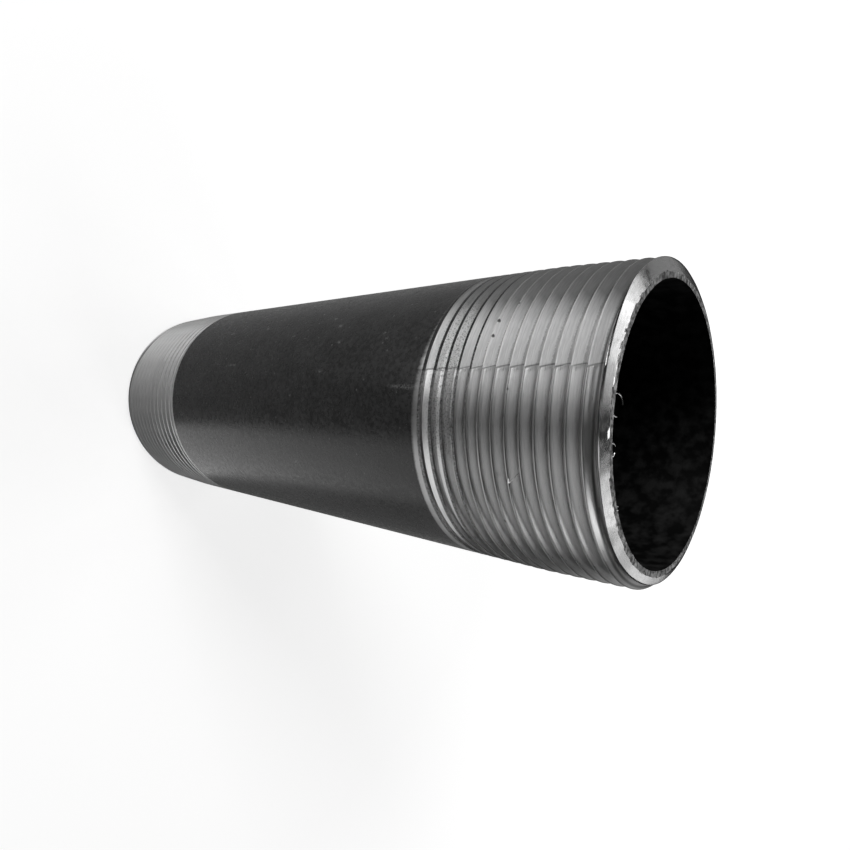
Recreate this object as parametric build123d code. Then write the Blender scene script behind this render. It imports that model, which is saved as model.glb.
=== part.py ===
from build123d import *
import math
import os

# Pipe nipple, 2-1/2 inch by 8 inch: a short length of black steel pipe with a
# right-hand taper thread cut on each end. Millimetres. It stands on one end, with
# its axis on Z, the lower end face at z = 0 and the upper one at the nipple length.

# The pipe that the nipple is cut from
nipple_length = 203.2
outside_diameter = 73.025
wall_thickness = 5.156

# The taper pipe thread: the crests at the end face lie inside the pipe's own surface,
# the full turns end first, and then the last ones fade out
pitch = 3.175
height_in_pitches = 0.8
flank_angle = 30.0
taper_on_diameter = 1 / 16
crest_drop_at_end = 0.704
full_thread_length = 28.893
fading_length = 11.016

# The bevel turned on the rim of each end
bevel_width = 1.6
bevel_length = 1.0

# Where the bottom of the groove crosses each end face, in degrees around the axis
lower_start_angle = 200.0
upper_start_angle = 141.0

# How far the cutter stands out of the crests, and how many turns it runs on into air
cutter_overcut = 0.08
run_on_turns = 2

# Worked out from the sizes above; a place along a thread is counted from its end face
thread_height = height_in_pitches * pitch
total_thread_length = full_thread_length + fading_length
radius_taper = taper_on_diameter / 2
cone_angle = math.degrees(math.atan(radius_taper))
pipe_radius = outside_diameter / 2
bore_radius = pipe_radius - wall_thickness
crest_radius_at_end = pipe_radius - crest_drop_at_end
root_radius_at_end = crest_radius_at_end - thread_height
full_root_radius = root_radius_at_end + full_thread_length * radius_taper
run_on = run_on_turns * pitch


def turned(profile):
    """A solid turned about Z from points given as radius and height."""
    return revolve(Plane.XZ * make_face(Polyline(*profile, close=True)), Axis.Z)


def turned_blank():
    """The bored pipe, turned to the crests' taper and bevelled at both ends."""
    taper_length = crest_drop_at_end / radius_taper
    bevel_radius = crest_radius_at_end + bevel_length * radius_taper
    lower_end = [
        (bore_radius, 0),
        (bevel_radius - bevel_width, 0),
        (bevel_radius, bevel_length),
        (pipe_radius, taper_length),
    ]
    upper_end = [(radius, nipple_length - height) for radius, height in reversed(lower_end)]
    return turned(lower_end + upper_end)


def wound_path(start, turns):
    """A right-hand helix up the cone of the roots, in edges of one turn each."""
    lead_on_cone = pitch / math.cos(math.radians(cone_angle))
    edges = []
    for turn in range(turns):
        height = start + turn * pitch
        radius = root_radius_at_end + height * radius_taper
        edges.append(Helix(lead_on_cone, pitch, radius, center=(0, 0, height), cone_angle=cone_angle))
    return Wire(edges)


def full_groove():
    """A V groove wound past the whole thread, closed by a like V in the air outside it."""
    start = -run_on
    turns = math.ceil(total_thread_length / pitch) + 2 * run_on_turns
    depth = thread_height + cutter_overcut
    half_width = depth * math.tan(math.radians(flank_angle))
    root = root_radius_at_end + start * radius_taper
    corners = [
        (root, start),
        (root + depth, start - half_width),
        (root + 2 * depth, start),
        (root + depth, start + half_width),
    ]
    section = Plane.XZ * make_face(Polyline(*corners, close=True))
    return sweep(section, path=wound_path(start, turns), is_frenet=True)


def uncut_core():
    """Metal under the cone on which the last turns fade out to the pipe's surface."""
    rise = (pipe_radius - full_root_radius) / fading_length
    top = total_thread_length + 4 * run_on
    return turned(
        [
            (bore_radius, full_thread_length),
            (full_root_radius, full_thread_length),
            (pipe_radius + (top - total_thread_length) * rise, top),
            (bore_radius, top),
        ]
    )


def thread_groove(start_angle):
    """The groove of one thread, crossing the end face at z = 0 at the given angle."""
    return Rot(0, 0, start_angle) * (full_groove() - uncut_core())


lower_groove = thread_groove(lower_start_angle)
upper_groove = Pos(0, 0, nipple_length) * Rot(180, 0, 0) * thread_groove(-upper_start_angle)
pipe_nipple = turned_blank() - lower_groove - upper_groove

os.makedirs("parts", exist_ok=True)
export_step(pipe_nipple, "parts/pipe_nipple.step")
print("solids", len(pipe_nipple.solids()), "volume", round(pipe_nipple.volume, 1))
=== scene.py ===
# Pipe nipple: a short black steel pipe with a bright taper thread on each end, stood on one end
import bpy
import math
from mathutils import Matrix, Vector, noise


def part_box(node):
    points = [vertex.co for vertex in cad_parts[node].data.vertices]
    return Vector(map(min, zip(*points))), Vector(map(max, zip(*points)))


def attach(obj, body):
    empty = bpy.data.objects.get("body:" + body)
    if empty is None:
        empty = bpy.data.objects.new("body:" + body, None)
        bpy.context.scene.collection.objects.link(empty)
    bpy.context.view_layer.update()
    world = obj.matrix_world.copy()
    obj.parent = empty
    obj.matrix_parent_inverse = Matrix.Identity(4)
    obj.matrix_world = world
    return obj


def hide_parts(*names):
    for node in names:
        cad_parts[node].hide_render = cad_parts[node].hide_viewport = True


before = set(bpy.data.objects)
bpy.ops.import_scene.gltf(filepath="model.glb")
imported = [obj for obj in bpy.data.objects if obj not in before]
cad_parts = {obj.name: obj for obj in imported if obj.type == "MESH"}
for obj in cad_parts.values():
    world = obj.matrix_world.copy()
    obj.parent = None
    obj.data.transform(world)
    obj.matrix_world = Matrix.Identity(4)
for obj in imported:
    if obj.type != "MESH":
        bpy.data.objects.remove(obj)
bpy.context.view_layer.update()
cadLow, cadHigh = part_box("pipe_nipple")

mm = 0.001
fullTurn = 2 * math.pi
pipeLength = cadHigh.z - cadLow.z
pipeRadius = min(cadHigh.x - cadLow.x, cadHigh.y - cadLow.y) / 2

# What the thread is: a place along it, called s in the code, is counted from its own end face
thread = {
    "pitch": 3.175 * mm,
    "height": 2.54 * mm,
    "crestDrop": 0.704 * mm,  # how far the crests at the end face lie inside the pipe
    "taper": 1 / 32,
    "flankSlope": math.tan(math.radians(30)),
    "fullLength": 28.9 * mm,
    "fadeLength": 14.6 * mm,
    "rootRound": 0.2 * mm,
    "crestRound": 0.035 * mm,
    "bevelLength": 1.0 * mm,
    "bevelWidth": 3.2 * mm,
}
wall = 5.156 * mm

# How rough the tools left it: how deep each trace is, and how many there are to a millimetre
traces = {
    "chatter": (0.012 * mm, 0.9),
    "tear": (0.11 * mm, 1.7),
    "rimScallop": (0.12 * mm, 0.8),
    "faceWave": (0.02 * mm, 1.1),
    "boreBurr": (0.14 * mm, 0.9),
}

# How each end is wound, in steps to a turn and lines to a pitch, and how its threading went. Angles are in
# degrees round its own end face.
upperEnd = {
    "name": "upperEnd", "start": -141.0, "steps": 240, "lines": 16, "seed": 3.0,
    "stopAngle": 104.0, "stopSlant": 0.017, "stopLean": 0.69, "stopStep": 0.1 * mm,
    "tornTurns": (9.3, 12.2), "tornAngles": (68.0, 138.0),
    "nicks": [(68.0, 19.1 * mm, 0.5 * mm, 0.32 * mm)],
}
lowerEnd = {
    "name": "lowerEnd", "start": 200.0, "steps": 240, "lines": 8, "seed": 41.0,
    "stopAngle": 190.0, "stopSlant": 0.04, "stopLean": 0.69, "stopStep": 0.08 * mm,
    "tornTurns": (9.8, 12.4), "tornAngles": (20.0, 110.0),
    "nicks": [],
}

# The line where the die stopped: it begins a little early, the painted shade that darkens its step is
# narrow, and its step and then the dull finish fade over a stretch of degrees past it. The step is full from
# this depth in the groove on.
stopLine = {
    "early": 0.25, "width": 0.4, "stepFades": (0.3, 14.0), "dullFades": (120.0, 300.0),
    "fullDepth": 0.8 * mm,
}

boreRadius = pipeRadius - wall
crestAtEnd = pipeRadius - thread["crestDrop"]
rootAtEnd = crestAtEnd - thread["height"]
threadLength = thread["fullLength"] + thread["fadeLength"]
skinLength = threadLength + 1.0 * mm
bridgeLength = 20.0 * mm  # the stretch in the middle of the pipe that joins the two ends
tiny = 0.01 * mm


def select(piece, test):
    # Picks vertices by their place, then comes back to edit mode
    bpy.ops.object.mode_set(mode="EDIT")
    bpy.ops.mesh.select_mode(type="VERT")
    bpy.ops.mesh.select_all(action="DESELECT")
    bpy.ops.object.mode_set(mode="OBJECT")
    for vertex in piece.data.vertices:
        vertex.select = test(vertex.co)
    bpy.ops.object.mode_set(mode="EDIT")


def selectRim(piece, test):
    # Picks the open edges whose two ends pass the test
    bpy.ops.object.mode_set(mode="EDIT")
    bpy.ops.mesh.select_mode(type="EDGE")
    bpy.ops.mesh.select_all(action="DESELECT")
    bpy.ops.mesh.select_non_manifold(extend=False, use_wire=False, use_boundary=True,
                                     use_multi_face=False, use_non_contiguous=False, use_verts=False)
    bpy.ops.object.mode_set(mode="OBJECT")
    vertices = piece.data.vertices
    chosen = set()
    for edge in piece.data.edges:
        if edge.select:
            edge.select = all(test(vertices[index].co) for index in edge.vertices)
        if edge.select:
            chosen.update(edge.vertices)
    for vertex in vertices:
        vertex.select = vertex.index in chosen
    bpy.ops.object.mode_set(mode="EDIT")


def crestRadius(s):
    return min(pipeRadius, crestAtEnd + s * thread["taper"])


def bottomRadius(s):
    # The cone on which the last turns fade out
    root = rootAtEnd + s * thread["taper"]
    if s <= thread["fullLength"]:
        return root
    rootThere = rootAtEnd + thread["fullLength"] * thread["taper"]
    share = (s - thread["fullLength"]) / thread["fadeLength"]
    return max(root, rootThere + (pipeRadius - rootThere) * share)


def grooveShares(s, lines):
    # Where the lines of one pitch lie, from one groove's middle to the next, at this place along the thread
    half = lines // 2
    root = rootAtEnd + s * thread["taper"]
    crestEdge = (crestRadius(s) - root) * thread["flankSlope"] / thread["pitch"]
    bottomEdge = (min(bottomRadius(s), crestRadius(s)) - root) * thread["flankSlope"] / thread["pitch"]
    gap = 0.02  # the least between two edges
    corner = 0.008  # how near a crest's edge the two lines lie that round it
    bottomEdge = max(bottomEdge, 0.025)
    crestEdge = min(max(crestEdge, bottomEdge + gap), 0.47)
    bottomEdge = min(bottomEdge, crestEdge - gap)
    flankLines = half - 3
    shares = [0.0, bottomEdge]
    for line in range(1, flankLines):
        shares.append(bottomEdge + (crestEdge - bottomEdge) * line / flankLines)
    shares.extend([crestEdge - corner, crestEdge + corner, 0.5])
    return shares + [1 - share for share in reversed(shares[:-1])]


def windSkin(end):
    # One pitch of the thread's outline, drawn as an upright edge, then wound up the pipe by a screw
    pitch = thread["pitch"]
    bpy.ops.object.select_all(action="DESELECT")
    bpy.ops.mesh.primitive_plane_add(size=pitch, location=(pipeRadius + pitch / 2, 0, -pitch / 2),
                                     rotation=(math.pi / 2, 0, 0))
    skin = bpy.context.object
    skin.name = end["name"]
    bpy.ops.object.transform_apply(location=True, rotation=True, scale=True)
    select(skin, lambda place: place.x > pipeRadius + pitch / 2)
    bpy.ops.mesh.delete(type="VERT")
    bpy.ops.mesh.select_all(action="SELECT")
    bpy.ops.mesh.subdivide(number_cuts=end["lines"] - 1)
    bpy.ops.object.mode_set(mode="OBJECT")
    bpy.ops.object.modifier_add(type="SCREW")
    screw = skin.modifiers[-1]
    screw.axis = "Z"
    screw.angle = fullTurn
    screw.screw_offset = pitch
    screw.iterations = math.ceil(skinLength / pitch) + 2
    screw.steps = end["steps"]
    screw.render_steps = end["steps"]
    screw.use_smooth_shade = False
    bpy.ops.object.modifier_apply(modifier=screw.name)
    bpy.ops.object.mode_set(mode="EDIT")
    bpy.ops.mesh.select_all(action="SELECT")
    bpy.ops.mesh.remove_doubles(threshold=0.002 * mm)
    bpy.ops.object.mode_set(mode="OBJECT")
    return skin


def bedLines(skin, end):
    # Slides the wound lines along the pipe, so that one lies on each edge of the thread's outline
    pitch = thread["pitch"]
    lines = end["lines"]
    for vertex in skin.data.vertices:
        turned = (math.atan2(vertex.co.y, vertex.co.x) % fullTurn) / fullTurn
        if turned > 0.9999:
            turned = 0.0
        count = round((vertex.co.z / pitch - turned) * lines)
        turn, line = divmod(count, lines)
        middle = (turn + line / lines + turned) * pitch
        share = grooveShares(max(middle, 0.0), lines)[line]
        vertex.co.z = (turn + share + turned) * pitch


def slicePipe(skin, height, clearBelow=False, clearAbove=False):
    bpy.ops.object.mode_set(mode="EDIT")
    bpy.ops.mesh.select_all(action="SELECT")
    bpy.ops.mesh.bisect(plane_co=(0, 0, height), plane_no=(0, 0, 1), use_fill=False,
                        clear_inner=clearBelow, clear_outer=clearAbove, threshold=0.0005 * mm)
    bpy.ops.object.mode_set(mode="OBJECT")


def easeIn(value, low, high):
    share = min(max((value - low) / (high - low), 0.0), 1.0)
    return share * share * (3 - 2 * share)


def skinRadius(s, turned):
    # How far the surface lies from the axis, turned being the share of a turn from the groove's start
    pitch = thread["pitch"]
    way = s / pitch - turned
    fromGroove = abs(way - round(way)) * pitch
    root = rootAtEnd + s * thread["taper"]
    flank = root + math.hypot(fromGroove, thread["rootRound"]) / thread["flankSlope"]
    flank = max(flank, bottomRadius(s))
    crest = crestRadius(s)
    return (crest + flank - math.hypot(crest - flank, thread["crestRound"])) / 2


def tornShare(end, s, turned, angle):
    # Where the last turns were torn rather than cut
    way = s / thread["pitch"] - turned
    first, last = end["tornTurns"]
    low, high = end["tornAngles"]
    round360 = (angle - low) % 360
    turns = easeIn(way, first, first + 0.5) * (1 - easeIn(way, last - 0.5, last))
    spread = easeIn(round360, 0, 12) * (1 - easeIn(round360, high - low - 12, high - low))
    return turns * (0.12 + 0.88 * spread)


def pastStop(end, angle, s):
    # How far past the die's stop line a place lies, in degrees
    slant = math.degrees(end["stopSlant"] * s / pipeRadius)
    return (angle - end["stopAngle"] + slant + stopLine["early"]) % 360


def nickDepth(end, angle, s):
    depth = 0.0
    for nickAngle, nickPlace, halfWidth, deep in end["nicks"]:
        across = math.radians((angle - nickAngle + 180) % 360 - 180) * pipeRadius
        if abs(across) < halfWidth and abs(s - nickPlace) < thread["pitch"] / 2:
            depth = deep
    return depth


def trace(name, spot):
    # How far a tool's trace moves the surface at this spot, which is in millimetres
    deep, perMm = traces[name]
    return deep * noise.noise(spot * perMm)


def shapeSkin(skin, end):
    # Moves each vertex out to the thread's surface, with its chatter, tears, stop line and nicks
    marks = {}
    for name in ("tornSteel", "matteSteel", "stopLine"):
        marks[name] = skin.data.attributes.new(name, "FLOAT", "POINT")
    slope = thread["bevelWidth"] / thread["bevelLength"]
    tear, tearsPerMm = traces["tear"]
    seed = Vector((end["seed"], end["seed"], 0))
    for vertex in skin.data.vertices:
        turn = math.atan2(vertex.co.y, vertex.co.x)
        turned = (turn % fullTurn) / fullTurn
        angle = math.degrees(turn) + end["start"]
        s = vertex.co.z
        radius = skinRadius(s, turned)
        onCrest = pipeRadius - radius < 0.02 * mm
        torn = tornShare(end, s, turned, angle)
        past = pastStop(end, angle, s)
        spot = Vector((math.cos(turn), math.sin(turn), 0)) * pipeRadius / mm + Vector((0, 0, s / mm)) + seed
        if s < threadLength and not onCrest:
            radius += trace("chatter", spot)
            radius -= tear * torn * max(0.0, noise.noise(spot * tearsPerMm) + 0.25)
            cutShare = min(1.0, (crestRadius(s) - radius) / stopLine["fullDepth"])
            radius -= end["stopStep"] * cutShare * (1 - easeIn(past, *stopLine["stepFades"]))
        radius -= nickDepth(end, angle, s)
        if s < thread["bevelLength"]:
            inside = thread["bevelLength"] - s
            scallop = trace("rimScallop", spot) * inside / thread["bevelLength"]
            radius = min(radius, crestAtEnd - inside * slope + scallop)
        radius = min(radius, pipeRadius)
        # The stop line leans as it goes deeper
        turn += end["stopLean"] * (crestRadius(s) - radius) / pipeRadius
        vertex.co.x = radius * math.cos(turn)
        vertex.co.y = radius * math.sin(turn)
        # The stop line mark tells where the step's painted shade goes
        paintedShadeOnStopLine = past < stopLine["width"] and s < threadLength
        marks["tornSteel"].data[vertex.index].value = torn
        marks["matteSteel"].data[vertex.index].value = 1 - easeIn(past, *stopLine["dullFades"])
        marks["stopLine"].data[vertex.index].value = 1.0 if paintedShadeOnStopLine else 0.0


def cutAcross(skin, end, angle, slant, reach, low, high):
    # A cut through the wall along the pipe, made only near one side and between two heights
    turn = math.radians(angle - end["start"])
    outward = Vector((math.cos(turn), math.sin(turn), 0))
    sideways = Vector((-math.sin(turn), math.cos(turn), slant))
    bpy.ops.object.mode_set(mode="EDIT")
    bpy.ops.mesh.select_mode(type="FACE")
    bpy.ops.mesh.select_all(action="DESELECT")
    bpy.ops.object.mode_set(mode="OBJECT")
    for face in skin.data.polygons:
        place = face.center
        near = place.dot(outward) > 0 and abs(place.dot(sideways)) < reach
        face.select = near and low < place.z < high
    bpy.ops.object.mode_set(mode="EDIT")
    bpy.ops.mesh.bisect(plane_co=(0, 0, 0), plane_no=sideways, use_fill=False,
                        clear_inner=False, clear_outer=False, threshold=0.0005 * mm)
    bpy.ops.object.mode_set(mode="OBJECT")


def drawRing(piece, place):
    # Extrudes the chosen loop and sets the new one down where place says
    bpy.ops.mesh.extrude_edges_move()
    bpy.ops.object.mode_set(mode="OBJECT")
    for vertex in piece.data.vertices:
        if vertex.select:
            vertex.co = place(vertex.co)
    bpy.ops.object.mode_set(mode="EDIT")


def atRadius(place, radius, height):
    flat = Vector((place.x, place.y, 0)).normalized() * radius
    return Vector((flat.x, flat.y, height))


def closeEnd(skin, end):
    # The end face, its torn inner edge, then the bore down towards the middle of the pipe
    seed = Vector((end["seed"], 0, end["seed"]))
    wave, wavesPerMm = traces["faceWave"]
    deepBurr, burrsPerMm = traces["boreBurr"]

    def inward(place, step):
        outer = math.hypot(place.x, place.y)
        hollow = wave * (1 + noise.noise(place / mm * wavesPerMm + seed))
        return atRadius(place, outer + (boreRadius - outer) * step, hollow)

    def burr(place):
        flat = Vector((place.x, place.y, 0)).normalized() * boreRadius / mm + seed
        return deepBurr * max(0.0, noise.noise(flat * burrsPerMm) + 0.1 * noise.noise(flat * 4))

    selectRim(skin, lambda place: abs(place.z) < tiny)
    done = 0.0
    for share in (0.12, 0.4, 0.7, 0.9):
        step = (share - done) / (1 - done)
        drawRing(skin, lambda place: inward(place, step))
        done = share
    drawRing(skin, lambda place: atRadius(place, boreRadius - burr(place), 0.0))
    for height in (0.25, 1.0, 3.0, 8.0, 20.0, 45.0, 80.0):
        lip = max(0.0, 1 - height)
        drawRing(skin, lambda place: atRadius(place, boreRadius - burr(place) * lip, height * mm))
    bpy.ops.object.mode_set(mode="OBJECT")


def drawBarrel(skin):
    # The plain pipe, out to the middle in rings, whose points are then spread evenly round it
    plainLength = (pipeLength - bridgeLength) / 2 - skinLength
    selectRim(skin, lambda place: abs(place.z - skinLength) < tiny)
    for share in (0.015, 0.25, 0.5, 0.75, 1.0):
        height = skinLength + plainLength * share
        drawRing(skin, lambda place: atRadius(place, pipeRadius, height))
    bpy.ops.object.mode_set(mode="OBJECT")
    midWall = (pipeRadius + boreRadius) / 2
    select(skin, lambda place: place.z > skinLength + tiny and math.hypot(place.x, place.y) > midWall)
    bpy.ops.mesh.vertices_smooth(factor=0.5, repeat=40, zaxis=False)
    bpy.ops.object.mode_set(mode="OBJECT")
    for vertex in skin.data.vertices:
        if vertex.select:
            vertex.co = atRadius(vertex.co, pipeRadius, vertex.co.z)


def threadedEnd(end):
    skin = windSkin(end)
    bedLines(skin, end)
    slicePipe(skin, 0.0, clearBelow=True)
    for share in (0.25, 0.5, 0.75, 1.0):
        slicePipe(skin, thread["bevelLength"] * share)
    slicePipe(skin, skinLength, clearAbove=True)
    reach = 2.5 * mm
    for offset in (-0.5, 0.0, 0.5):
        cutAcross(skin, end, end["stopAngle"] + offset, end["stopSlant"], reach, 0.0, threadLength)
    for nickAngle, nickPlace, halfWidth, deep in end["nicks"]:
        low = nickPlace - 2.0 * mm
        high = nickPlace + 2.0 * mm
        for share in (-1.05, -0.95, 0.95, 1.05):
            offset = math.degrees(share * halfWidth / pipeRadius)
            cutAcross(skin, end, nickAngle + offset, 0.0, reach, low, high)
    shapeSkin(skin, end)
    closeEnd(skin, end)
    drawBarrel(skin)
    skin.data.transform(Matrix.Rotation(math.radians(end["start"]), 4, "Z"))
    print("wound", end["name"], len(skin.data.polygons), "faces")
    return skin


def joinEnds(upper, lower):
    upper.data.transform(Matrix.Translation((0, 0, pipeLength)) @ Matrix.Rotation(math.pi, 4, "X"))
    bpy.ops.object.select_all(action="DESELECT")
    upper.select_set(True)
    lower.select_set(True)
    bpy.context.view_layer.objects.active = upper
    bpy.ops.object.join()
    nipple = bpy.context.object
    nipple.name = "threaded_nipple"
    nipple.data.name = "threaded_nipple"
    midWall = (pipeRadius + boreRadius) / 2
    selectRim(nipple, lambda place: math.hypot(place.x, place.y) > midWall)
    bpy.ops.mesh.bridge_edge_loops()
    selectRim(nipple, lambda place: math.hypot(place.x, place.y) < midWall)
    bpy.ops.mesh.bridge_edge_loops()
    bpy.ops.mesh.select_all(action="SELECT")
    bpy.ops.mesh.normals_make_consistent(inside=False)
    bpy.ops.object.mode_set(mode="OBJECT")
    bpy.ops.object.shade_smooth_by_angle(angle=math.radians(24))
    return nipple


# Curls of swarf that still hang on the upper end: where each one's middle lies, as degrees round the end,
# distance from the axis and from the end face, then its radius, its wire and the arc that is left of it
curls = {
    "boreWire": {
        "angle": 94.4, "radius": 29.3 * mm, "depth": 0.5 * mm, "size": 2.1 * mm, "wire": 0.14 * mm,
        "arc": (-175, 100), "onSkin": False,
    },
    "boreHook": {
        "angle": 79.0, "radius": 30.6 * mm, "depth": 0.4 * mm, "size": 1.2 * mm, "wire": 0.14 * mm,
        "arc": (-160, 160), "onSkin": False,
    },
    "boreNub": {
        "angle": 57.7, "radius": 31.0 * mm, "depth": 0.3 * mm, "size": 0.5 * mm, "wire": 0.15 * mm,
        "arc": (-150, 150), "onSkin": False,
    },
    "threadHook": {
        "angle": 76.6, "radius": 35.95 * mm, "depth": 35.6 * mm, "size": 0.75 * mm, "wire": 0.09 * mm,
        "arc": (-60, 200), "onSkin": True,
    },
}
curlTilt = 6.0  # degrees out of flat


def onUpperEnd(angle, radius, depth):
    turn = math.radians(angle)
    return Vector((radius * math.cos(turn), -radius * math.sin(turn), pipeLength - depth))


def addCurl(curl, steel):
    # A ring of wire with a piece cut out of it, laid flat at the bore's edge or against the thread
    bpy.ops.object.select_all(action="DESELECT")
    bpy.ops.mesh.primitive_torus_add(major_radius=curl["size"], minor_radius=curl["wire"],
                                     major_segments=40, minor_segments=8)
    piece = bpy.context.object
    piece.data.materials.append(steel)
    first, last = curl["arc"]
    select(piece, lambda place: not first < math.degrees(math.atan2(place.y, place.x)) < last)
    bpy.ops.mesh.delete(type="VERT")
    bpy.ops.mesh.select_all(action="SELECT")
    bpy.ops.mesh.fill_holes(sides=8)
    bpy.ops.mesh.normals_make_consistent(inside=False)
    bpy.ops.object.mode_set(mode="OBJECT")
    middle = onUpperEnd(curl["angle"], curl["radius"], curl["depth"])
    outward = Vector((middle.x, middle.y, 0)).normalized()
    upward = Vector((0, 0, 1))
    if curl["onSkin"]:
        axes = (outward.cross(upward), upward, outward)
    else:
        axes = (outward, upward.cross(outward), upward)
    turn = Matrix(axes).transposed().to_4x4() @ Matrix.Rotation(math.radians(curlTilt), 4, "Y")
    piece.data.transform(Matrix.Translation(middle) @ turn)
    return piece


def addCurls(nipple, steel):
    made = [addCurl(curl, steel) for curl in curls.values()]
    bpy.ops.object.select_all(action="DESELECT")
    for piece in made + [nipple]:
        piece.select_set(True)
    bpy.context.view_layer.objects.active = nipple
    bpy.ops.object.join()


# The order of the finishes on the nipple
outsideSlot, bevelSlot, endFaceSlot, boreSlot = range(4)


def sortFaces(nipple):
    # Gives the bevels, the end faces and the bore their own finish
    for face in nipple.data.polygons:
        place = face.center
        radius = math.hypot(place.x, place.y)
        depth = min(place.z, pipeLength - place.z)
        if radius < boreRadius + 0.02 * mm and depth > 0.1 * mm:
            face.material_index = boreSlot
        elif depth < 0.05 * mm and abs(face.normal.z) > 0.95:
            face.material_index = endFaceSlot
        elif depth < thread["bevelLength"] and abs(face.normal.z) > 0.6:
            face.material_index = bevelSlot
        else:
            face.material_index = outsideSlot


def addNode(tree, kind, inputs=None, **settings):
    made = tree.nodes.new(kind)
    for key, value in settings.items():
        setattr(made, key, value)
    for key, value in (inputs or {}).items():
        if isinstance(value, bpy.types.NodeSocket):
            tree.links.new(value, made.inputs[key])
        else:
            made.inputs[key].default_value = value
    return made


def calc(tree, operation, first, second=0.0, clamp=False):
    made = addNode(tree, "ShaderNodeMath", {0: first, 1: second}, operation=operation, use_clamp=clamp)
    return made.outputs[0]


def vectorCalc(tree, operation, first, second):
    return addNode(tree, "ShaderNodeVectorMath", {0: first, 1: second}, operation=operation).outputs[0]


def lengthOf(tree, vector):
    return addNode(tree, "ShaderNodeVectorMath", {0: vector}, operation="LENGTH").outputs["Value"]


def alongWay(tree, vector, way):
    # How far a vector reaches along a fixed way
    made = addNode(tree, "ShaderNodeVectorMath", {0: vector, 1: way}, operation="DOT_PRODUCT")
    return made.outputs["Value"]


def ramp(tree, value, low, high, toLow=0.0, toHigh=1.0):
    made = addNode(tree, "ShaderNodeMapRange", {"Value": value, "From Min": low, "From Max": high,
                                                "To Min": toLow, "To Max": toHigh})
    return made.outputs["Result"]


def grey(value):
    return (value, value, value, 1.0)


def mixValue(tree, share, first, second):
    return addNode(tree, "ShaderNodeMix", {0: share, 2: first, 3: second}).outputs[0]


def cloudOf(tree, vector, scale, detail=3.0):
    made = addNode(tree, "ShaderNodeTexNoise", {"Vector": vector, "Scale": scale, "Detail": detail})
    return made.outputs["Fac"]


def product(tree, first, *others):
    for other in others:
        first = calc(tree, "MULTIPLY", first, other)
    return first


def between(tree, value, low, high, blur, inside):
    # One outside the stretch from low to high, and the given share inside it
    rise = ramp(tree, value, low - blur, low + blur)
    fall = ramp(tree, value, high + blur, high - blur)
    return mixValue(tree, product(tree, rise, fall), 1.0, inside)


def mark(tree, name):
    return addNode(tree, "ShaderNodeAttribute", attribute_name=name).outputs["Fac"]


def newSteel(name):
    # A material, its nodes and the place on the pipe in millimetres
    material = bpy.data.materials.new(name)
    material.use_nodes = True
    tree = material.node_tree
    place = addNode(tree, "ShaderNodeTexCoord").outputs["Object"]
    place = vectorCalc(tree, "MULTIPLY", place, (1 / mm, 1 / mm, 1 / mm))
    return material, tree, place


def fromAxis(tree, place):
    # The place laid flat on the end face, and how far it lies from the axis
    across = vectorCalc(tree, "MULTIPLY", place, (1, 1, 0))
    return across, lengthOf(tree, across)


def toolLines(tree, place, scale):
    # Lines that a tool leaves round the pipe: they change with the distance from the axis, hardly round it
    across, radius = fromAxis(tree, place)
    split = addNode(tree, "ShaderNodeSeparateXYZ", {0: across})
    slowX = calc(tree, "MULTIPLY", split.outputs[0], 0.05)
    slowY = calc(tree, "MULTIPLY", split.outputs[1], 0.05)
    spot = addNode(tree, "ShaderNodeCombineXYZ", {0: slowX, 1: slowY, 2: radius}).outputs[0]
    return cloudOf(tree, spot, scale)


def finish(material, tone, metallic, roughness, height=None, depth=0.03, specular=0.5):
    # Wires a grey tone and the rest to the shader, with a bump of the given depth in millimetres
    tree = material.node_tree
    shader = tree.nodes["Principled BSDF"]
    color = addNode(tree, "ShaderNodeCombineColor", {0: tone, 1: tone, 2: tone}).outputs[0]
    for name, value in (("Base Color", color), ("Metallic", metallic), ("Roughness", roughness)):
        if isinstance(value, bpy.types.NodeSocket):
            tree.links.new(value, shader.inputs[name])
        else:
            shader.inputs[name].default_value = value
    if height:
        bump = addNode(tree, "ShaderNodeBump", {"Height": height, "Distance": depth * mm, "Strength": 1.0})
        tree.links.new(bump.outputs[0], shader.inputs["Normal"])
    shader.inputs["Specular IOR Level"].default_value = specular


# Small marks on the upper end: degrees round the end, distance from the end face, half its width and length
pits = [
    (121.0, 25.9, 0.42, 0.42), (114.9, 25.8, 0.4, 0.4), (128.4, 23.1, 0.25, 0.25), (52.4, 22.6, 0.4, 0.4),
    (105.7, 36.5, 0.55, 0.4), (96.7, 19.2, 0.35, 0.35), (77.2, 2.0, 0.3, 0.3),
]
scuffs = [
    (97.0, 47.5, 0.45, 4.2), (96.4, 45.4, 0.35, 1.6), (62.5, 90.2, 0.5, 1.0), (54.6, 92.8, 0.45, 2.4),
    (132.8, 164.8, 0.8, 1.6), (126.6, 134.8, 0.5, 1.0), (106.6, 123.9, 0.4, 2.0), (127.8, 114.8, 0.4, 0.8),
    (121.3, 97.3, 0.35, 0.7), (130.2, 82.9, 0.5, 0.7), (125.1, 78.1, 0.5, 0.9), (116.1, 74.9, 0.45, 0.7),
    (119.1, 58.8, 0.35, 0.5), (116.6, 57.2, 0.35, 0.5), (102.9, 78.3, 0.4, 0.8), (92.4, 89.5, 0.3, 0.5),
]


def spots(tree, place, places, blur):
    # One where a mark lies, and nothing elsewhere
    total = None
    for angle, depth, halfWidth, halfLength in places:
        middle = onUpperEnd(angle, pipeRadius / mm, 0)
        middle = (middle.x, middle.y, pipeLength / mm - depth)
        size = (1 / halfWidth, 1 / halfWidth, 1 / halfLength)
        offset = vectorCalc(tree, "SUBTRACT", place, middle)
        away = lengthOf(tree, vectorCalc(tree, "MULTIPLY", offset, size))
        spot = ramp(tree, away, 1.0 + blur, 1.0 - blur)
        total = spot if total is None else calc(tree, "MAXIMUM", total, spot)
    return total


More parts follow.
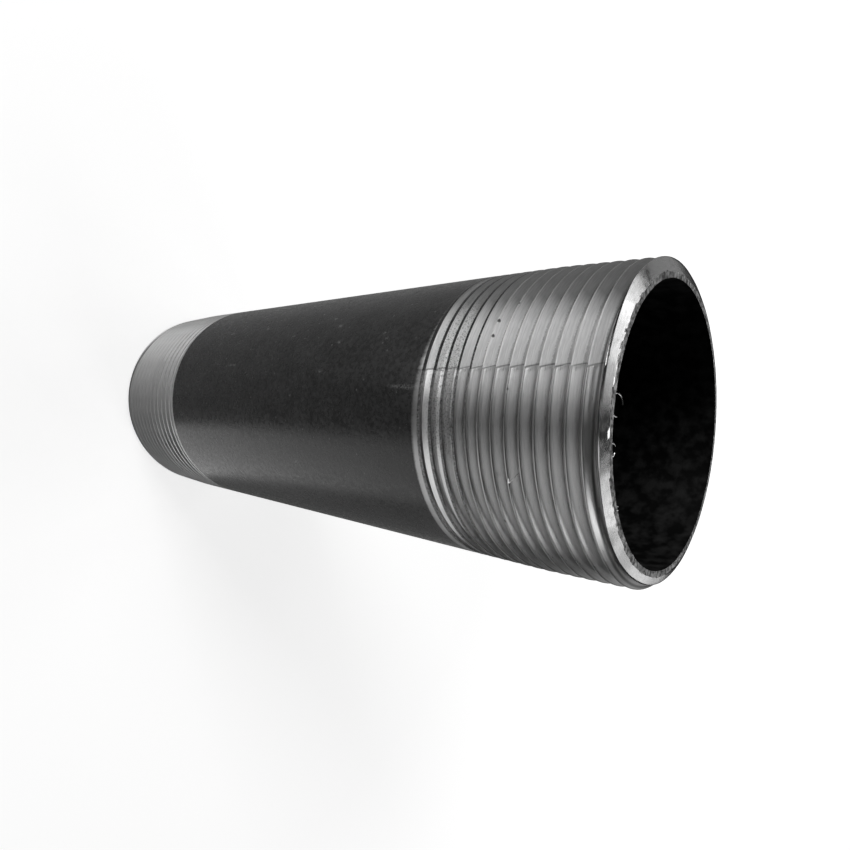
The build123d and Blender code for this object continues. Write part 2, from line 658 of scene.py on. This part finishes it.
# How the outside is finished. Places are millimetres from the end face, or degrees round the upper end.
# Dull is how a thread looks past its stop line, and bright how it looks before it. A pair of tones or of
# roughness is what the pattern swings between.
outside = {
    "blackFrom": 29.0,  # from here on the upper thread's crests keep their scale; the lower one's are bare
    "wornScale": (0.2, 0.75),  # how much of it is worn off the bright side
    "tornScale": 0.5,
    # Painted shade: how dark the roots are made on each side, and the crests on the bright side
    "brightRootPaintedShade": 0.8, "dullRootPaintedShade": 0.7, "brightCrestPaintedShade": 0.5,
    "leadInPaintedShade": [(1.0, 1.45, 0.15), (2.2, 2.5, 0.35)],  # painted shade in two rings, where the first turn was cut away in steps that the mesh doesn't have
    "toolLines": (0.86, 1.1),
    # the tone of the painted shade along the stop line's step
    "stopLine": 0.35,
    "pit": 0.15,
    # The dull side's pair of tones is painted shade away from the painted light's side and painted light
    # towards it
    "brightTone": 0.66, "dullPaintedLight": (0.4, 0.93), "lowerDullTone": 0.72,
    "paintedLightSide": 112.0,  # degrees round the upper end where the painted light on the dull side is brightest
    "blackTone": (0.004, 0.02), "blotchTone": 0.026, "grainTone": 0.03, "dust": 0.7, "dustTone": 0.2,
    "brightRough": (0.27, 0.37), "dullRough": 0.55, "blackRough": (0.2, 0.4),
    "brightMetal": 0.95, "dullMetal": 0.6,
    "cutGrain": 0.25, "tornGrain": 0.8, "blackGrain": 1.6, "lineGrain": 0.3,
    "specular": 0.4,
}


def blackScale(tree, place, radius, fromEnd, lowerHalf, fine):
    # Where the scale is left: on the plain pipe, on the last crests and in patches of the torn turns
    uncut = ramp(tree, radius, pipeRadius / mm - 0.06, pipeRadius / mm - 0.02)
    blackFrom = mixValue(tree, lowerHalf, outside["blackFrom"], threadLength / mm - 1.0)
    beyond = calc(tree, "SUBTRACT", calc(tree, "ADD", fromEnd, fine), blackFrom)
    scale = product(tree, uncut, ramp(tree, beyond, 0.0, 0.6))
    inThread = ramp(tree, fromEnd, threadLength / mm + 0.4, threadLength / mm - 0.4)
    bright = calc(tree, "SUBTRACT", 1.0, mark(tree, "matteSteel"))
    worn = product(tree, inThread, bright, ramp(tree, fine, 0.4, 0.6, *outside["wornScale"]))
    scale = product(tree, scale, calc(tree, "SUBTRACT", 1.0, worn))
    patches = ramp(tree, cloudOf(tree, place, 3.4), 0.52, 0.62)
    patches = product(tree, mark(tree, "tornSteel"), patches, outside["tornScale"])
    return calc(tree, "MAXIMUM", scale, patches, clamp=True)


def cutPaintedShadeAndMarks(tree, place, depth, fromEnd, matte, fine, lines):
    # Painted shade on the cut steel: darker in the roots, on the bright side's crests, in two rings at the
    # lead-in and along the stop line; the tool lines and a darker spot in each pit come with it
    ragged = calc(tree, "ADD", depth, ramp(tree, fine, 0.3, 0.7, -0.05, 0.05))
    # Painted shade in the roots, deeper in the groove
    brightRootPaintedShade = ramp(tree, ragged, 0.3, 0.75, 1.0, outside["brightRootPaintedShade"])
    dullRootPaintedShade = ramp(tree, ragged, 0.68, 0.76, 1.0, outside["dullRootPaintedShade"])
    # Painted shade on the crests of the bright side, where their reflection is dark
    brightCrestPaintedShade = ramp(tree, depth, 0.03, 0.1, outside["brightCrestPaintedShade"], 1.0)
    shade = mixValue(tree, matte, brightRootPaintedShade, dullRootPaintedShade)
    shade = product(tree, shade, mixValue(tree, matte, brightCrestPaintedShade, 1.0))
    # Painted shade in rings at the lead-in, in place of its steps
    for low, high, tone in outside["leadInPaintedShade"]:
        shade = product(tree, shade, between(tree, fromEnd, low, high, 0.08, tone))
    # Painted shade along the stop line's step
    paintedShadeOnStopLine = ramp(tree, mark(tree, "stopLine"), 0.0, 1.0, 1.0, outside["stopLine"])
    inPit = ramp(tree, spots(tree, place, pits, 0.3), 0.0, 1.0, 1.0, outside["pit"])
    return product(tree, shade, ramp(tree, lines, 0.3, 0.7, *outside["toolLines"]), paintedShadeOnStopLine, inPit)


def bareToneAndPaintedLight(tree, across, radius, lowerHalf, matte):
    # The tone of the cut steel. Its dull side has painted light on the upper end: palest just past the stop
    # line, and darker round the pipe from there
    paintedLightSide = onUpperEnd(outside["paintedLightSide"], 1, 0)
    facing = calc(tree, "DIVIDE", alongWay(tree, across, (paintedLightSide.x, paintedLightSide.y, 0)), radius)
    # Painted light and shade by which way the dull steel faces
    dull = ramp(tree, facing, 0.93, 0.99, *outside["dullPaintedLight"])
    dull = mixValue(tree, lowerHalf, dull, outside["lowerDullTone"])
    return mixValue(tree, matte, outside["brightTone"], dull)


def blackTone(tree, place, fine, blotch):
    # The tone of the scale, with its blotches, its grain, the dust and the scuffs
    black = ramp(tree, cloudOf(tree, place, 0.16, 5.0), 0.35, 0.65, *outside["blackTone"])
    black = calc(tree, "ADD", black, ramp(tree, blotch, 0.4, 0.7, 0.0, outside["blotchTone"]))
    black = calc(tree, "ADD", black, product(tree, ramp(tree, fine, 0.62, 0.72), outside["grainTone"]))
    cells = addNode(tree, "ShaderNodeTexVoronoi", {"Vector": place, "Scale": 0.4, "Randomness": 1.0})
    chosen = addNode(tree, "ShaderNodeSeparateColor", {0: cells.outputs["Color"]}).outputs[0]
    speck = product(tree, ramp(tree, cells.outputs["Distance"], 0.14, 0.04), ramp(tree, chosen, 0.6, 0.62))
    scuff = product(tree, spots(tree, place, scuffs, 0.5), ramp(tree, fine, 0.4, 0.6))
    light = calc(tree, "MAXIMUM", product(tree, speck, outside["dust"]), scuff)
    return mixValue(tree, light, black, outside["dustTone"])


def blackSteel():
    # The outside: black scale on the plain pipe and the last crests, cut steel in the thread
    material, tree, place = newSteel("blackPipeAndCutThread")
    across, radius = fromAxis(tree, place)
    height = addNode(tree, "ShaderNodeSeparateXYZ", {0: place}).outputs[2]
    fromEnd = calc(tree, "MINIMUM", height, calc(tree, "SUBTRACT", pipeLength / mm, height))
    crestHere = calc(tree, "ADD", product(tree, fromEnd, thread["taper"]), crestAtEnd / mm)
    crestHere = calc(tree, "MINIMUM", crestHere, pipeRadius / mm)
    depth = calc(tree, "DIVIDE", calc(tree, "SUBTRACT", crestHere, radius), thread["height"] / mm)
    halfway = pipeLength / mm / 2
    lowerHalf = ramp(tree, height, halfway + 0.5, halfway - 0.5)
    matte = mark(tree, "matteSteel")
    fine = cloudOf(tree, place, 3.0)
    blotch = cloudOf(tree, place, 0.9, 4.0)
    lines = toolLines(tree, place, 5.0)
    scale = blackScale(tree, place, radius, fromEnd, lowerHalf, fine)
    # The cut steel has painted shade in the roots, on crests, at the lead-in and on the stop line, and
    # painted light on its dull side
    shade = cutPaintedShadeAndMarks(tree, place, depth, fromEnd, matte, fine, lines)
    bare = product(tree, shade, bareToneAndPaintedLight(tree, across, radius, lowerHalf, matte))
    tone = mixValue(tree, scale, bare, blackTone(tree, place, fine, blotch))
    brightRough = ramp(tree, lines, 0.3, 0.7, *outside["brightRough"])
    rough = mixValue(tree, matte, brightRough, outside["dullRough"])
    rough = mixValue(tree, scale, rough, ramp(tree, blotch, 0.3, 0.7, *outside["blackRough"]))
    metal = mixValue(tree, matte, outside["brightMetal"], outside["dullMetal"])
    metal = product(tree, calc(tree, "SUBTRACT", 1.0, scale), metal)
    torn = mark(tree, "tornSteel")
    grain = product(tree, fine, mixValue(tree, torn, outside["cutGrain"], outside["tornGrain"]))
    grain = calc(tree, "ADD", grain, product(tree, blotch, scale, outside["blackGrain"]))
    grain = calc(tree, "ADD", grain, product(tree, lines, outside["lineGrain"]))
    finish(material, tone, metal, rough, grain, specular=outside["specular"])
    return material


# The finishes of the cut ends and the bore: tones and roughness from low to high, the bump in millimetres
bevelFinish = {"tone": (0.6, 0.72), "stain": 0.7, "rough": (0.13, 0.22), "metal": 1.0, "bump": 0.005}
endFaceFinish = {"tone": (0.06, 0.5), "smear": (0.7, 1.1), "rough": 0.48, "metal": 0.9, "bump": 0.1}
boreFinish = {"tone": (0.003, 0.03), "rough": 0.55, "metal": 0.0, "bump": 0.15, "specular": 0.2}


def turnedBevel():
    material, tree, place = newSteel("turnedBevel")
    lines = toolLines(tree, place, 9.0)
    stains = cloudOf(tree, place, 0.7)
    tone = ramp(tree, lines, 0.3, 0.7, *bevelFinish["tone"])
    tone = product(tree, tone, ramp(tree, stains, 0.64, 0.74, 1.0, bevelFinish["stain"]))
    rough = ramp(tree, stains, 0.35, 0.7, *bevelFinish["rough"])
    finish(material, tone, bevelFinish["metal"], rough, lines, bevelFinish["bump"])
    return material


def roughEndFace():
    material, tree, place = newSteel("roughEndFace")
    grain = cloudOf(tree, place, 1.1, 5.0)
    smears = cloudOf(tree, place, 0.35, 2.0)
    tone = ramp(tree, grain, 0.38, 0.62, *endFaceFinish["tone"])
    tone = product(tree, tone, ramp(tree, smears, 0.35, 0.65, *endFaceFinish["smear"]))
    finish(material, tone, endFaceFinish["metal"], endFaceFinish["rough"], grain, endFaceFinish["bump"])
    return material


def blackBore():
    material, tree, place = newSteel("blackBore")
    grain = cloudOf(tree, place, 0.35, 6.0)
    tone = ramp(tree, grain, 0.42, 0.66, *boreFinish["tone"])
    finish(material, tone, boreFinish["metal"], boreFinish["rough"], grain, boreFinish["bump"],
           boreFinish["specular"])
    return material


# The floor, with lengths in metres. The white that the camera sees added to its paint is footWhite as far as
# foot from the pipe, and 1 from whiteFrom on. What it shows to the mirror of the steel is dim but for some
# sectors: degrees round the pipe, half their width, how far from the pipe they begin, and their brightness.
floorLook = {"reach": 14.0, "paint": 0.85, "footWhite": 0.7, "foot": 0.25, "whiteFrom": 0.9, "dim": 0.01}
floorGlow = [
    {"angle": -40.0, "halfWidth": 26.0, "from": 0.0, "bright": 0.77},
    {"angle": -120.0, "halfWidth": 15.0, "from": 0.25, "bright": 1.41},
    {"angle": 0.0, "halfWidth": 15.0, "from": 0.25, "bright": 0.43},
]


def glowOf(tree, sector, away, toward):
    # One sector of the floor, with soft edges
    middle = math.radians(sector["angle"])
    facing = alongWay(tree, toward, (math.cos(middle), math.sin(middle), 0))
    edge = 2.5
    outer = math.cos(math.radians(sector["halfWidth"] + edge))
    inner = math.cos(math.radians(sector["halfWidth"] - edge))
    glow = ramp(tree, facing, outer, inner, 0.0, sector["bright"])
    return product(tree, glow, ramp(tree, away, sector["from"] - 0.03, sector["from"] + 0.03))


def paleFloor():
    material = bpy.data.materials.new("paleFloor")
    material.use_nodes = True
    tree = material.node_tree
    tree.nodes.remove(tree.nodes["Principled BSDF"])
    path = addNode(tree, "ShaderNodeLightPath")
    place = addNode(tree, "ShaderNodeTexCoord").outputs["Object"]
    away = lengthOf(tree, place)
    toward = addNode(tree, "ShaderNodeVectorMath", {0: place}, operation="NORMALIZE").outputs[0]
    white = ramp(tree, away, floorLook["foot"], floorLook["whiteFrom"], floorLook["footWhite"], 1.0)
    seen = product(tree, path.outputs["Is Camera Ray"], white)
    bright = floorLook["dim"]
    for sector in floorGlow:
        bright = calc(tree, "ADD", bright, glowOf(tree, sector, away, toward))
    mirrored = product(tree, path.outputs["Is Glossy Ray"], bright)
    strength = calc(tree, "ADD", seen, mirrored)
    card = addNode(tree, "ShaderNodeBsdfDiffuse", {"Color": grey(floorLook["paint"])})
    glow = addNode(tree, "ShaderNodeEmission", {"Color": grey(1.0), "Strength": strength})
    both = addNode(tree, "ShaderNodeAddShader", {0: card.outputs[0], 1: glow.outputs[0]})
    tree.links.new(both.outputs[0], tree.nodes["Material Output"].inputs["Surface"])
    return material


def addFloor():
    bpy.ops.object.select_all(action="DESELECT")
    bpy.ops.mesh.primitive_circle_add(vertices=96, radius=floorLook["reach"], fill_type="NGON",
                                      location=(0, 0, cadLow.z))
    floor = bpy.context.object
    floor.name = "paleFloor"
    floor.data.materials.append(paleFloor())


# Soft boxes that face the upper half of the pipe: degrees round it and up from the floor, metres away, width
# and height in metres, and watts
softBoxes = {
    "key": {"round": 210.0, "rise": 45.0, "away": 1.2, "size": (0.42, 0.42), "watts": 1.7},
    "lowLeft": {"round": 210.0, "rise": 18.0, "away": 1.2, "size": (0.42, 0.42), "watts": 2.75},
    "topLeft": {"round": 194.0, "rise": 65.7, "away": 1.0, "size": (0.2, 0.36), "watts": 0.6},
    "backRight": {"round": 26.6, "rise": 56.0, "away": 1.0, "size": (0.2, 0.36), "watts": 0.6},
    "behind": {"round": 90.0, "rise": 40.0, "away": 1.2, "size": (0.42, 0.42), "watts": 1.1},
    "lowBack": {"round": 108.0, "rise": 18.0, "away": 1.2, "size": (0.8, 0.42), "watts": 0.24},
    "lowBackRight": {"round": 60.0, "rise": 18.0, "away": 1.2, "size": (0.42, 0.42), "watts": 0.3},
}
# Small ones that face the upper rim, where the bevel mirrors them
rimBoxes = {
    "rimLeftLow": {"round": 123.0, "rise": 37.8, "watts": 0.18},
    "rimLeft": {"round": 119.5, "rise": 46.2, "watts": 0.18},
    "rimLeftHigh": {"round": 111.5, "rise": 54.0, "watts": 0.11},
    "rimRightHigh": {"round": 66.9, "rise": 50.4, "watts": 0.16},
    "rimRight": {"round": 61.7, "rise": 42.4, "watts": 0.08},
    "rimRightLow": {"round": 60.7, "rise": 33.3, "watts": 0.09},
    "rimRightLowest": {"round": 62.3, "rise": 22.3, "watts": 0.06},
}
softAim = 0.16
rimAim = 0.2
rimAway = 1.0
rimSize = (0.24, 0.24)
worldGlow = 0.02  # how bright the surroundings are, but to the camera, which sees them white


def addSoftBox(name, box, aim, away, size):
    turn = math.radians(box["round"])
    rise = math.radians(box["rise"])
    toBox = Vector((math.cos(rise) * math.cos(turn), math.cos(rise) * math.sin(turn), math.sin(rise)))
    bpy.ops.object.light_add(type="AREA", location=Vector((0, 0, aim)) + toBox * away)
    lamp = bpy.context.object
    lamp.name = name
    lamp.data.shape = "RECTANGLE"
    lamp.data.size, lamp.data.size_y = size
    lamp.data.energy = box["watts"]
    lamp.rotation_euler = (-toBox).to_track_quat("-Z", "Y").to_euler()
    lamp.visible_camera = False


def addLights():
    for name, box in softBoxes.items():
        addSoftBox(name, box, softAim, box["away"], box["size"])
    for name, box in rimBoxes.items():
        addSoftBox(name, box, rimAim, rimAway, rimSize)
    world = bpy.data.worlds.new("studio")
    bpy.context.scene.world = world
    world.use_nodes = True
    tree = world.node_tree
    path = addNode(tree, "ShaderNodeLightPath")
    strength = ramp(tree, path.outputs["Is Camera Ray"], 0.0, 1.0, worldGlow, 1.0)
    tree.nodes["Background"].inputs["Color"].default_value = grey(1.0)
    tree.links.new(strength, tree.nodes["Background"].inputs["Strength"])


# The camera stands close over the upper end and looks down the pipe, turned on its side. Its place, its
# lens and its sensor are in millimetres, and right and up are the way that the picture's sides point.
shot = {
    "place": (3.861, -128.016, 244.973),
    "right": (-0.07520909, 0.66194247, 0.74577192),
    "up": (-0.99716779, -0.04992549, -0.05624814),
    "lens": 24.107,
    "sensor": 36.0,
    "nearest": 5.0,
}


def addCamera():
    bpy.ops.object.camera_add(location=Vector(shot["place"]) * mm)
    camera = bpy.context.object
    right = Vector(shot["right"])
    up = Vector(shot["up"])
    camera.rotation_euler = Matrix((right, up, right.cross(up))).transposed().to_euler()
    camera.data.lens = shot["lens"]
    camera.data.sensor_width = shot["sensor"]
    camera.data.clip_start = shot["nearest"] * mm
    bpy.context.scene.camera = camera


upper = threadedEnd(upperEnd)
lower = threadedEnd(lowerEnd)
nipple = joinEnds(upper, lower)
bevelSteel = turnedBevel()
for steel in (blackSteel(), bevelSteel, roughEndFace(), blackBore()):
    nipple.data.materials.append(steel)
sortFaces(nipple)
addCurls(nipple, bevelSteel)
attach(nipple, "root")
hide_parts("pipe_nipple")
print("nipple", len(nipple.data.polygons), "faces")

addFloor()
addLights()
addCamera()
bpy.context.scene.view_settings.view_transform = "Standard"
